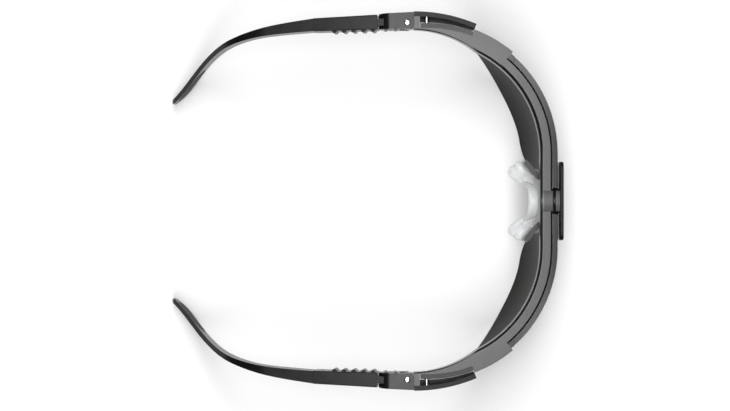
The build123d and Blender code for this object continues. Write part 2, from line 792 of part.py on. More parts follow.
# ---- clear nose saddle: an arched band, two hollowed pads and their sockets ----
with BuildPart() as nose_saddle:
    with BuildSketch(pad_frame.offset(-nose_pad_thickness / 2)):
        RectangleRounded(nose_pad_width, nose_pad_height, nose_pad_width / 2.2)
    extrude(amount=nose_pad_thickness)
    with BuildSketch(pad_frame.offset(nose_pad_thickness / 2)):
        RectangleRounded(
            nose_pad_width - pocket_border,
            nose_pad_height - pocket_border,
            (nose_pad_width - pocket_border) / 2.2,
        )
    extrude(amount=-pocket_depth, mode=Mode.SUBTRACT)
    with BuildSketch(plan(tab_bottom - socket_clearance - socket_floor)):
        draw_tab((socket_thickness - tab_thickness) / 2)
    extrude(amount=socket_height)
    with BuildSketch(front(saddle_front)):
        with Locations((saddle_radius + saddle_foot / 2 - saddle_thickness / 2, saddle_centre_height)):
            Rectangle(saddle_foot, saddle_foot)
    extrude(amount=-saddle_depth)
    with BuildSketch(plan(tab_bottom - socket_clearance)):
        draw_tab(socket_clearance)
    extrude(amount=brow_top, mode=Mode.SUBTRACT)
    with BuildSketch(plan(bracket_bottom - socket_clearance)):
        draw_wing(socket_clearance)
    extrude(amount=brow_top, mode=Mode.SUBTRACT)
    mirror(about=Plane.YZ)
    with BuildSketch(front(saddle_front)):
        with Locations((0, saddle_centre_height)):
            Circle(saddle_radius + saddle_thickness / 2)
            Circle(saddle_radius - saddle_thickness / 2, mode=Mode.SUBTRACT)
        with Locations((0, saddle_centre_height - saddle_radius)):
            Rectangle(4 * saddle_radius, 2 * saddle_radius, mode=Mode.SUBTRACT)
    extrude(amount=-saddle_depth)
nose_saddle.part.label = "nose_saddle"
export_step(nose_saddle.part, "parts/nose_saddle.step")

# ---- the left pieces, and the right ones mirrored from them ----
paired = {
    "side_clip": side_clip,
    "clip_pin": clip_pin,
    "hinge_block": hinge_block,
    "hinge_screw": hinge_screw,
    "tilt_pin": tilt_pin,
    "temple_sleeve": temple_sleeve,
    "stop_pin": stop_pin,
    "temple_arm": temple_arm,
    "tip_pad": tip_pad,
}
for name, left in paired.items():
    left.part.label = f"{name}_left"
    export_step(left.part, f"parts/{name}_left.step")
    with BuildPart() as right:
        mirror(left.part, about=Plane.YZ)
    right.part.label = f"{name}_right"
    export_step(right.part, f"parts/{name}_right.step")
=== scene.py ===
"""Looks for the wraparound carrier eyewear: finishes, rounded pieces, lighting and camera."""

import json
import logging
import math
from dataclasses import dataclass, field
from enum import Enum

import bmesh
import bpy
from mathutils import Matrix, Vector, geometry

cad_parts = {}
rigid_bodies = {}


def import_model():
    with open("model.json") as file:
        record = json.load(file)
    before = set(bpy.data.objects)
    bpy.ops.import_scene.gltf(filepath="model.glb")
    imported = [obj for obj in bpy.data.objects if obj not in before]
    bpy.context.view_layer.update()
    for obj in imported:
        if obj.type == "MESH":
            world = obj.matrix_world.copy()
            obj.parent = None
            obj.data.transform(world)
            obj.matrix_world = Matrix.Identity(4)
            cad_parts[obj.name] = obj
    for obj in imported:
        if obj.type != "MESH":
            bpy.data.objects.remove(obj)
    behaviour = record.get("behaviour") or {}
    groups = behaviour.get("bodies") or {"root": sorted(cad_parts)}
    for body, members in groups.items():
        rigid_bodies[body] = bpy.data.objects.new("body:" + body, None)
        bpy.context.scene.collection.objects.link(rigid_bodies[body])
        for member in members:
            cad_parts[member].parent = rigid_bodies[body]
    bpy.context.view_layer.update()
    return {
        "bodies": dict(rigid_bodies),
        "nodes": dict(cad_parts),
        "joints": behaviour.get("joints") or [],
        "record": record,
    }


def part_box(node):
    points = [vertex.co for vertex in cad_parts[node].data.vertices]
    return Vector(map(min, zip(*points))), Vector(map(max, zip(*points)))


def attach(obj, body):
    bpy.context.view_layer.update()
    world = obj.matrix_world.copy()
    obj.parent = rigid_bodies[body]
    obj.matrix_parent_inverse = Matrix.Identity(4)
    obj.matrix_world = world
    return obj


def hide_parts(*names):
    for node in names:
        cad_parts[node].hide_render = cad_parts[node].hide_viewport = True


LOG = logging.getLogger("eyewear")
MM = 0.001
# Blend of the facing weight that spreads the painted rim shade of see-through finishes.
PAINTED_RIM_BLEND = 0.6
BLOTCH_SHARE = 0.06
COAT_ROUGHNESS = 0.04
RELIEF_HEIGHT = 0.05 * MM


class Side(Enum):
    """Which side of the wearer a piece is on."""

    LEFT = "left"
    RIGHT = "right"

    @property
    def sign(self) -> float:
        """Give the sign of sideways positions on this side."""
        return 1.0 if self is Side.LEFT else -1.0


class Grain(Enum):
    """Kinds of surface relief a finish can carry."""

    MOULDED = "moulded"
    POLISHED = "polished"
    BRUSHED = "brushed"
    SOFT = "soft"


@dataclass(frozen=True)
class Finish:
    """One surface finish: its colours, gloss and relief."""

    name: str
    low: tuple[float, float, float]
    high: tuple[float, float, float]
    roughness: float
    roughness_spread: float
    grain: Grain
    bump: float
    scale: float
    metallic: float = 0.0
    coat: float = 0.0
    specular: float = 0.5
    clear: float = 0.0
    clear_tint: tuple[float, float, float] = (1.0, 1.0, 1.0)
    # Painted shade: the colour the see-through share darkens to at grazing angles, for dark edges on clear
    # pieces.
    rim_painted_shade: tuple[float, float, float] | None = None
    transmission: float = 0.0
    ior: float = 1.5

    def material(self) -> bpy.types.Material:
        """Build the finish as a node material.

        Returns:
            The material, made once and shared afterwards.
        """
        found = bpy.data.materials.get(self.name)
        if found is not None:
            return found
        made = bpy.data.materials.new(self.name)
        made.use_nodes = True
        nodes, links = made.node_tree.nodes, made.node_tree.links
        nodes.clear()
        out = nodes.new("ShaderNodeOutputMaterial")
        shader = nodes.new("ShaderNodeBsdfPrincipled")
        place = nodes.new("ShaderNodeTexCoord")
        noise = self._noise(nodes, links, place, self.scale)
        blotch = self._noise(nodes, links, place, self.scale * BLOTCH_SHARE)
        ramp = nodes.new("ShaderNodeMix")
        ramp.data_type = "RGBA"
        ramp.inputs[6].default_value = (*self.low, 1.0)
        ramp.inputs[7].default_value = (*self.high, 1.0)
        links.new(blotch.outputs["Fac"], ramp.inputs[0])
        links.new(ramp.outputs[2], shader.inputs["Base Color"])
        rough = nodes.new("ShaderNodeMapRange")
        rough.inputs["To Min"].default_value = self.roughness - self.roughness_spread
        rough.inputs["To Max"].default_value = self.roughness + self.roughness_spread
        links.new(blotch.outputs["Fac"], rough.inputs["Value"])
        links.new(rough.outputs["Result"], shader.inputs["Roughness"])
        bump = nodes.new("ShaderNodeBump")
        bump.inputs["Strength"].default_value = self.bump
        bump.inputs["Distance"].default_value = RELIEF_HEIGHT
        links.new(noise.outputs["Fac"], bump.inputs["Height"])
        links.new(bump.outputs["Normal"], shader.inputs["Normal"])
        shader.inputs["Metallic"].default_value = self.metallic
        shader.inputs["Coat Weight"].default_value = self.coat
        shader.inputs["Coat Roughness"].default_value = COAT_ROUGHNESS
        shader.inputs["Specular IOR Level"].default_value = self.specular
        shader.inputs["IOR"].default_value = self.ior
        shader.inputs["Transmission Weight"].default_value = self.transmission
        surface = shader.outputs[0]
        if self.clear > 0:
            surface = self._see_through(nodes, links, surface)
        links.new(surface, out.inputs["Surface"])
        return made

    def _see_through(
        self,
        nodes: bpy.types.Nodes,
        links: bpy.types.NodeLinks,
        solid: bpy.types.NodeSocket,
    ) -> bpy.types.NodeSocket:
        """Mix a tinted transparent share into the surface, darkened towards grazing angles by painted rim
        shade when a rim colour is given.

        Args:
            nodes: The material's nodes.
            links: The material's links.
            solid: The surface without the transparent share.

        Returns:
            The mixed surface.
        """
        through = nodes.new("ShaderNodeBsdfTransparent")
        through.inputs["Color"].default_value = (*self.clear_tint, 1.0)
        # Painted shade: the see-through colour darkens towards grazing angles, standing in for dark
        # refracted surroundings at the edges.
        if self.rim_painted_shade is not None:
            rim = nodes.new("ShaderNodeLayerWeight")
            rim.inputs["Blend"].default_value = PAINTED_RIM_BLEND
            rim_shade_mix = nodes.new("ShaderNodeMix")
            rim_shade_mix.data_type = "RGBA"
            rim_shade_mix.inputs[6].default_value = (*self.clear_tint, 1.0)
            rim_shade_mix.inputs[7].default_value = (*self.rim_painted_shade, 1.0)
            links.new(rim.outputs["Facing"], rim_shade_mix.inputs[0])
            links.new(rim_shade_mix.outputs[2], through.inputs["Color"])
        mix = nodes.new("ShaderNodeMixShader")
        mix.inputs["Fac"].default_value = 1.0 - self.clear
        links.new(through.outputs[0], mix.inputs[1])
        links.new(solid, mix.inputs[2])
        return mix.outputs[0]

    def _noise(
        self,
        nodes: bpy.types.Nodes,
        links: bpy.types.NodeLinks,
        place: bpy.types.Node,
        scale: float,
    ) -> bpy.types.Node:
        """Add a noise texture that follows the object.

        Args:
            nodes: The material's nodes.
            links: The material's links.
            place: The texture coordinate node.
            scale: Noise features per metre.

        Returns:
            The noise node.
        """
        stretch = nodes.new("ShaderNodeMapping")
        if self.grain is Grain.BRUSHED:
            stretch.inputs["Scale"].default_value = (1.0, 1.0, 8.0)
        links.new(place.outputs["Object"], stretch.inputs["Vector"])
        noise = nodes.new("ShaderNodeTexNoise")
        noise.inputs["Scale"].default_value = scale
        noise.inputs["Detail"].default_value = 4.0 if self.grain is not Grain.POLISHED else 1.0
        links.new(stretch.outputs["Vector"], noise.inputs["Vector"])
        return noise

    def dress(self, obj: bpy.types.Object) -> None:
        """Give an object this finish alone.

        Args:
            obj: The object to dress.
        """
        obj.data.materials.clear()
        obj.data.materials.append(self.material())


NYLON = Finish(
    name="satin_nylon",
    low=(0.0040, 0.0039, 0.0038),
    high=(0.0075, 0.0072, 0.0070),
    roughness=0.28,
    roughness_spread=0.05,
    grain=Grain.MOULDED,
    bump=0.14,
    scale=2600.0,
    specular=0.24,
)
BROW = Finish(
    name="brow_nylon",
    low=(0.0055, 0.0054, 0.0053),
    high=(0.0095, 0.0092, 0.0090),
    roughness=0.20,
    roughness_spread=0.04,
    grain=Grain.MOULDED,
    bump=0.10,
    scale=2600.0,
    specular=0.34,
)
GLOSS = Finish(
    name="polished_black",
    low=(0.003, 0.003, 0.003),
    high=(0.006, 0.006, 0.006),
    roughness=0.24,
    roughness_spread=0.04,
    grain=Grain.POLISHED,
    bump=0.03,
    scale=900.0,
    specular=0.10,
)
SMOKE = Finish(
    name="smoke_shield",
    low=(0.0060, 0.0055, 0.0047),
    high=(0.0095, 0.0086, 0.0070),
    roughness=0.10,
    roughness_spread=0.02,
    grain=Grain.POLISHED,
    bump=0.01,
    scale=300.0,
    specular=0.20,
    clear=0.06,
    clear_tint=(0.13, 0.115, 0.095),
)
STEEL = Finish(
    name="bright_steel",
    low=(0.80, 0.80, 0.80),
    high=(0.95, 0.95, 0.94),
    roughness=0.22,
    roughness_spread=0.05,
    grain=Grain.BRUSHED,
    bump=0.08,
    scale=4000.0,
    metallic=1.0,
)
# Clear vinyl with painted shade: its base colour and see-through tint are darkened to grey for the shade
# round the nose piece, and its rim darkens further at grazing angles.
VINYL = Finish(
    name="clear_vinyl",
    low=(0.02, 0.02, 0.019),
    high=(0.16, 0.16, 0.155),
    roughness=0.05,
    coat=1.0,
    roughness_spread=0.03,
    grain=Grain.POLISHED,
    bump=0.08,
    scale=500.0,
    transmission=0.75,
    ior=1.5,
    clear=0.55,
    clear_tint=(0.20, 0.20, 0.19),
    rim_painted_shade=(0.02, 0.02, 0.018),
)
GRIP = Finish(
    name="soft_grip",
    low=(0.020, 0.020, 0.020),
    high=(0.032, 0.032, 0.032),
    roughness=0.6,
    roughness_spread=0.05,
    grain=Grain.SOFT,
    bump=0.3,
    scale=1800.0,
)


def soften(obj: bpy.types.Object, width: float, angle: float = 35.0, segments: int = 3) -> None:
    """Round an object's sharp edges with modifiers.

    Args:
        obj: The object to round.
        width: Edge radius in metres.
        angle: Edges sharper than this many degrees are rounded.
        segments: Facets across the round.
    """
    bevel = obj.modifiers.new("edge_round", "BEVEL")
    bevel.width = width
    bevel.segments = segments
    bevel.limit_method = "ANGLE"
    bevel.angle_limit = math.radians(angle)
    bevel.harden_normals = False
    bevel.use_clamp_overlap = True
    normals = obj.modifiers.new("even_normals", "WEIGHTED_NORMAL")
    normals.keep_sharp = True
    normals.weight = 80


def link(mesh: bpy.types.Mesh, name: str) -> bpy.types.Object:
    """Put a mesh in the scene as an object.

    Args:
        mesh: The mesh.
        name: The object's name.

    Returns:
        The new object.
    """
    obj = bpy.data.objects.new(name, mesh)
    bpy.context.collection.objects.link(obj)
    return obj


def smooth_object(work: bmesh.types.BMesh, name: str) -> bpy.types.Object:
    """Turn a worked mesh into a smooth shaded object.

    Args:
        work: The mesh, freed afterwards.
        name: The object's name.

    Returns:
        The new object.
    """
    bmesh.ops.recalc_face_normals(work, faces=work.faces)
    mesh = bpy.data.meshes.new(name)
    work.to_mesh(mesh)
    work.free()
    mesh.polygons.foreach_set("use_smooth", [True] * len(mesh.polygons))
    return link(mesh, name)


def skin_rings(
    work: bmesh.types.BMesh,
    crown: bmesh.types.BMVert,
    rings: list[list[bmesh.types.BMVert]],
) -> None:
    """Join rings of points into a closed skin.

    Args:
        work: The mesh to add to.
        crown: The point inside the first ring.
        rings: Rings of equal length, from the crown outward, the last one closed flat.
    """
    around = len(rings[0])
    for k in range(around):
        work.faces.new((crown, rings[0][k], rings[0][(k + 1) % around]))
    for first, second in zip(rings, rings[1:]):
        for k in range(around):
            after = (k + 1) % around
            work.faces.new((first[k], second[k], second[after], first[after]))
    work.faces.new(rings[-1])


def cushion(
    work: bmesh.types.BMesh,
    half: tuple[float, float, float],
    place: Matrix,
    fullness: float = 3.0,
) -> None:
    """Add a rounded block to a mesh.

    Args:
        work: The mesh to add to.
        half: Half sizes along the block's own axes.
        place: Where the block sits.
        fullness: 2 gives an ellipsoid, larger gives a squarer block.
    """
    made = bmesh.ops.create_uvsphere(work, u_segments=48, v_segments=32, radius=1.0)
    for vert in made["verts"]:
        sharp = [math.copysign(abs(value) ** (2.0 / fullness), value) for value in vert.co]
        vert.co = place @ Vector([value * size for value, size in zip(sharp, half)])


def sweep(
    work: bmesh.types.BMesh,
    path: list[Vector],
    across: list[Vector],
    half_width: float,
    half_thickness: float,
    ring: int = 20,
) -> None:
    """Add a bar with a rounded section along a path.

    Args:
        work: The mesh to add to.
        path: Points along the middle of the bar.
        across: The direction of the section's width at each point.
        half_width: Half the section's width.
        half_thickness: Half the section's thickness.
        ring: Points round the section.
    """
    rings = []
    for n, point in enumerate(path):
        ahead = (path[min(n + 1, len(path) - 1)] - path[max(n - 1, 0)]).normalized()
        wide = (across[n] - ahead * across[n].dot(ahead)).normalized()
        thick = ahead.cross(wide)
        verts = []
        for k in range(ring):
            turn = 2 * math.pi * k / ring
            flat = math.copysign(abs(math.cos(turn)) ** 0.7, math.cos(turn))
            tall = math.copysign(abs(math.sin(turn)) ** 0.7, math.sin(turn))
            verts.append(work.verts.new(point + wide * flat * half_width + thick * tall * half_thickness))
        rings.append(verts)
    for first, second in zip(rings, rings[1:]):
        for k in range(ring):
            work.faces.new((first[k], first[(k + 1) % ring], second[(k + 1) % ring], second[k]))
    work.faces.new(list(reversed(rings[0])))
    work.faces.new(rings[-1])


def moulded(work: bmesh.types.BMesh, name: str, cell: float, smooth: int) -> bpy.types.Object:
    """Fuse overlapping closed shapes into one soft moulding.

    Args:
        work: The overlapping shapes, freed afterwards.
        name: The new object's name.
        cell: Size of the smallest feature kept.
        smooth: Rounds of smoothing.

    Returns:
        The moulding, smooth shaded.
    """
    mesh = bpy.data.meshes.new(name)
    bmesh.ops.recalc_face_normals(work, faces=work.faces)
    work.to_mesh(mesh)
    work.free()
    obj = link(mesh, name)
    fuse = obj.modifiers.new("fuse", "REMESH")
    fuse.mode = "VOXEL"
    fuse.voxel_size = cell
    fuse.use_smooth_shade = True
    relax = obj.modifiers.new("relax", "SMOOTH")
    relax.factor = 0.5
    relax.iterations = smooth
    ready = obj.evaluated_get(bpy.context.evaluated_depsgraph_get())
    obj.data = bpy.data.meshes.new_from_object(ready)
    obj.modifiers.clear()
    obj.data.name = name
    obj.data.polygons.foreach_set("use_smooth", [True] * len(obj.data.polygons))
    return obj


@dataclass(frozen=True)
class FrontPlan:
    """Plan sizes of the front that the added pieces follow, in metres."""

    front: float = -78.80 * MM
    flat: float = 19.0 * MM
    wrap_depth: float = 52.5 * MM
    inner: float = 45.5 * MM
    top: float = 50.0 * MM
    end_side: float = 69.0 * MM
    end_depth: float = 57.85 * MM
    end_bow: tuple[float, float] = (66.3 * MM, 43.9 * MM)
    turn: float = 65.0
    step: int = 3
    end_steps: int = 12

    def wrap(self, radius: float, angle: float, height: float) -> Vector:
        """Give a point on the wrap.

        Args:
            radius: Distance from the wrap's centre.
            angle: Degrees round from straight ahead.
            height: Height of the point.

        Returns:
            The point in the shared frame.
        """
        turn = math.radians(angle)
        return Vector(
            (
                self.flat + radius * math.sin(turn),
                self.front + self.wrap_depth - radius * math.cos(turn),
                height,
            )
        )

    def inner_edge(self, inset: float, height: float) -> list[Vector]:
        """Trace the brow's inner edge from the left hinge to the right one.

        Args:
            inset: How far inside the edge the trace runs.
            height: Height of the trace.

        Returns:
            The points of the trace.
        """
        depth = self.front + self.wrap_depth - self.inner + inset
        half = [Vector((x * MM, depth, height)) for x in range(0, round(self.flat / MM), self.step)]
        turns = range(0, int(self.turn) + 1, self.step)
        half += [self.wrap(self.inner - inset, angle, height) for angle in turns]
        start = half[-1]
        end = Vector((self.end_side - inset, self.front + self.end_depth, height))
        middle = Vector((self.end_bow[0] - inset, self.front + self.end_bow[1], height))
        for n in range(1, self.end_steps + 1):
            share = n / self.end_steps
            half.append(
                start * (2 * (share - 0.5) * (share - 1))
                + middle * (4 * share * (1 - share))
                + end * (2 * share * (share - 0.5))
            )
        mirrored = [Vector((-point.x, point.y, point.z)) for point in half[1:]]
        return list(reversed(half)) + mirrored


@dataclass
class NosePiece:
    """Clear soft nose piece: an arched band and two dished pads that wrap the bracket's tabs."""

    plan: FrontPlan
    arch_half: float = 7.0 * MM
    arch_rise: float = 6.9 * MM
    arch_height: float = 31.6 * MM
    arch_front: float = 9.0 * MM
    arch_sweep: float = 1.7 * MM
    band_half_width: float = 2.1 * MM
    band_half_thickness: float = 0.75 * MM
    pad_centre: tuple[float, float, float] = (10.4 * MM, 13.9 * MM, 25.5 * MM)
    pad_half: tuple[float, float, float] = (5.2 * MM, 7.2 * MM, 1.9 * MM)
    pad_turn: float = 53.0
    pad_lean: float = 14.0
    tab_centre: tuple[float, float, float] = (13.1 * MM, 10.5 * MM, 29.6 * MM)
    tab_turn: float = 38.0
    socket_half: tuple[float, float, float] = (4.0 * MM, 2.2 * MM, 4.6 * MM)
    dish_half: tuple[float, float, float] = (3.9 * MM, 5.8 * MM, 1.5 * MM)
    web_centre: tuple[float, float, float] = (12.6 * MM, 13.2 * MM, 28.6 * MM)
    web_half: tuple[float, float, float] = (3.9 * MM, 2.9 * MM, 4.6 * MM)
    root_centre: tuple[float, float, float] = (8.3 * MM, 11.0 * MM, 30.2 * MM)
    root_half: tuple[float, float, float] = (3.0 * MM, 2.2 * MM, 2.8 * MM)
    dish_band: tuple[float, float] = (0.6 * MM, 2.2 * MM)
    dish_share: float = 0.6
    band_steps: int = 22
    band_step_turn: float = 4.6
    band_tip: tuple[float, float] = (0.35, 0.25)
    cell: float = 0.22 * MM
    smooth: int = 3
    fill: float = 0.9

    def place(self, side: Side, at: tuple[float, float, float], turn: float, lean: float) -> Matrix:
        """Give the place of a block on one side.

        Args:
            side: The side the block is on.
            at: Sideways, depth and height of its middle, as on the left.
            turn: Degrees the block turns in plan.
            lean: Degrees the block leans over.

        Returns:
            The block's place in the shared frame.
        """
        shift = Matrix.Translation((at[0], self.plan.front + at[1], at[2]))
        spin = Matrix.Rotation(math.radians(turn), 4, "Z") @ Matrix.Rotation(math.radians(lean), 4, "X")
        mirror = Matrix.Diagonal((side.sign, 1.0, 1.0, 1.0))
        return mirror @ shift @ spin

    def band(self, work: bmesh.types.BMesh) -> None:
        """Add the arched band.

        Args:
            work: The mesh to add to.
        """
        path, across = [], []
        for n in range(-self.band_steps, self.band_steps + 1):
            turn = math.radians(n * self.band_step_turn)
            path.append(
                Vector(
                    (
                        self.arch_half * math.sin(turn),
                        self.plan.front + self.arch_front + self.arch_sweep * (1 - math.cos(turn)),
                        self.arch_height + self.arch_rise * math.cos(turn),
                    )
                )
            )
            swing = math.sin(turn)
            across.append(Vector((self.band_tip[0] * swing, 1.0, self.band_tip[1] * abs(swing))))
        sweep(work, path, across, self.band_half_width, self.band_half_thickness)

    def build(self) -> None:
        """Mould the nose piece and let it ride on the front."""
        work = bmesh.new()
        self.band(work)
        blocks = (
            (self.pad_half, self.pad_centre, self.pad_turn, 90 - self.pad_lean, 3.2),
            (self.socket_half, self.tab_centre, self.tab_turn, 0.0, 3.6),
            (self.web_half, self.web_centre, self.pad_turn, 0.0, 3.0),
            (self.root_half, self.root_centre, self.pad_turn, 0.0, 2.6),
        )
        for side in Side:
            for half, centre, turn, lean, fullness in blocks:
                cushion(work, half, self.place(side, centre, turn, lean), fullness)
        body = moulded(work, "nose_piece", self.cell, self.smooth)
        self.dish(body)
        VINYL.dress(body)
        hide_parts("nose_saddle")
        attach(body, "front")
        LOG.info("nose piece moulded")

    def dish(self, body: bpy.types.Object) -> None:
        """Press a shallow dish into the side of each pad that meets the nose.

        Args:
            body: The nose piece.
        """
        for vert in body.data.vertices:
            side = Side.LEFT if vert.co.x > 0 else Side.RIGHT
            frame = self.place(side, self.pad_centre, self.pad_turn, 90 - self.pad_lean)
            local = frame.inverted() @ vert.co
            reach = math.hypot(local.x / self.dish_half[0], local.y / self.dish_half[1])
            if reach < 1.0 and self.dish_band[0] < local.z < self.dish_band[1]:
                local.z -= self.dish_half[2] * (1 - reach * reach) ** 0.5 * self.dish_share
                vert.co = frame @ local
        body.data.update()


@dataclass
class BrowBead:
    """Polished bead moulded along the brow's inner top edge."""

    plan: FrontPlan
    radius: float = 0.36 * MM
    drop: float = 0.62 * MM
    inset: float = 0.05 * MM
    widening: float = 1.3
    ring: int = 12

    def build(self) -> None:
        """Sweep the bead and let it ride on the front."""
        path = self.plan.inner_edge(self.inset, self.plan.top - self.drop)
        work = bmesh.new()
        upright = [Vector((0, 0, 1))] * len(path)
        sweep(work, path, upright, self.radius * self.widening, self.radius, self.ring)
        bead = smooth_object(work, "brow_bead")
        GLOSS.dress(bead)
        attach(bead, "front")
        LOG.info("brow bead swept")


@dataclass
class BossCap:
    """Low crown over the boss that carries the bridge plate, parted by a fine seam."""

    plan: FrontPlan
    half_width: float = 4.7 * MM
    rise: float = 0.40 * MM
    skirt: float = 0.5 * MM
    seam: float = 1.45 * MM
    seam_gap: float = 0.12 * MM
    rear: float = 6.95 * MM
    front: float = -0.85 * MM
    end_reach: float = 0.25 * MM
    end_fall: float = 0.12 * MM
    edge_round: float = 0.12 * MM
    steps: int = 10
    across: int = 32

    def crown(self, name: str, start: float, end: float, finish: Finish) -> None:
        """Build one length of the crown.

        Args:
            name: The piece's name.
            start: Depth where the piece starts.
            end: Depth where it ends.
            finish: The piece's finish.
        """
        work = bmesh.new()
        rows = []
        for n in range(self.steps + 1):
            share = n / self.steps
            depth = start + (end - start) * share
            edge = min(share, 1 - share) * abs(end - start)
            ease = min(1.0, edge / self.end_reach)
            fall = self.end_fall * (1 - ease) ** 2
            row = []
            for k in range(self.across + 1):
                way = -1 + 2 * k / self.across
                height = self.plan.top + self.rise * (1 - way * way) - fall - self.skirt * abs(way) ** 14
                row.append(work.verts.new((way * self.half_width, self.plan.front + depth, height)))
            for way in (1.0, -1.0):
                base = self.plan.top - 2 * self.skirt
                row.append(work.verts.new((way * self.half_width, self.plan.front + depth, base)))
            rows.append(row)
        count = len(rows[0])
        for first, second in zip(rows, rows[1:]):
            for k in range(count):
                after = (k + 1) % count
                work.faces.new((first[k], first[after], second[after], second[k]))
        work.faces.new(rows[0])
        work.faces.new(list(reversed(rows[-1])))
        cap = smooth_object(work, name)
        finish.dress(cap)
        soften(cap, self.edge_round, 40.0, 2)
        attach(cap, "front")

    def build(self) -> None:
        """Build the crown in front of and behind the seam."""
        self.crown("boss_crown", self.seam + self.seam_gap / 2, self.rear, BROW)
        self.crown("plate_crown", self.front, self.seam - self.seam_gap / 2, BROW)
        LOG.info("boss crown built")


@dataclass
class TipPad:
    """Soft grip pad with a domed face and shallow grip ribs, set in the inner face of an ear piece."""

    nodes: dict[str, bpy.types.Object]
    side: Side
    rings: int = 14
    around: int = 120
    rim_drop: float = 0.34 * MM
    sink: float = 0.75 * MM
    rib_pitch: float = 1.5 * MM
    rib_depth: float = 0.09 * MM
    rib_margin: float = 0.8
    spread: float = 0.8
    inset: float = 0.985
    rim_power: int = 8
    fill: float = 0.9

    def outline(self, cad: bpy.types.Object) -> list[Vector]:
        """Trace the pad's outline in side view from its solid.

        Args:
            cad: The solid pad.

        Returns:
            Evenly spaced points of depth and height.
        """
        flat = [(cad.matrix_world @ vert.co).yz for vert in cad.data.vertices]
        loop = [flat[n] for n in geometry.convex_hull_2d(flat)]
        loop.append(loop[0])
        runs = [(b - a).length for a, b in zip(loop, loop[1:])]
        total, points = sum(runs), []
        for n in range(self.around):
            left = total * n / self.around
            for run, (a, b) in zip(runs, zip(loop, loop[1:])):
                if left <= run:
                    points.append(a.lerp(b, left / run))
                    break
                left -= run
        return points

    def surface(self, cad: bpy.types.Object, at: Vector) -> tuple[Vector, Vector]:
        """Find the solid pad's inner face at a depth and height.

        Args:
            cad: The solid pad.
            at: Depth and height.

        Returns:
            The point on the face and the face's direction.
        """
        away = Vector((self.side.sign, 0.0, 0.0))
        inverse = cad.matrix_world.inverted()
        start = inverse @ Vector((0.0, at.x, at.y))
        found, point, normal, _ = cad.ray_cast(start, (inverse.to_3x3() @ away).normalized())
        if not found:
            _, point, normal, _ = cad.closest_point_on_mesh(start)
        return cad.matrix_world @ point, (cad.matrix_world.to_3x3() @ normal).normalized()

    def build(self) -> None:
        """Mould the pad and let it ride on its arm."""
        cad = self.nodes[f"tip_pad_{self.side.value}"]
        edge = self.outline(cad)
        middle = sum(edge, Vector((0.0, 0.0))) / len(edge)
        long_way = max((point - middle for point in edge), key=lambda reach: reach.length).normalized()
        centre_point, facing = self.surface(cad, middle)
        work = bmesh.new()
        crown = work.verts.new(centre_point)
        rings = []
        for n in range(1, self.rings + 1):
            share = (n / self.rings) ** self.spread
            ring = []
            for point in edge:
                spot = middle + (point - middle) * share * self.inset
                at, _ = self.surface(cad, spot)
                fall = self.rim_drop * share**self.rim_power
                wave = 0.5 - 0.5 * math.cos(2 * math.pi * (spot - middle).dot(long_way) / self.rib_pitch)
                ribs = self.rib_depth * wave * (1.0 if share < self.rib_margin else 0.0)
                ring.append(work.verts.new(at - facing * (fall + ribs)))
            rings.append(ring)
        rings.append([work.verts.new(vert.co - facing * (self.sink - self.rim_drop)) for vert in rings[-1]])
        skin_rings(work, crown, rings)
        pad = smooth_object(work, f"grip_pad_{self.side.value}")
        GRIP.dress(pad)
        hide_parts(f"tip_pad_{self.side.value}")
        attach(pad, f"arm_{self.side.value}")
        LOG.info("%s grip pad moulded", self.side.value)


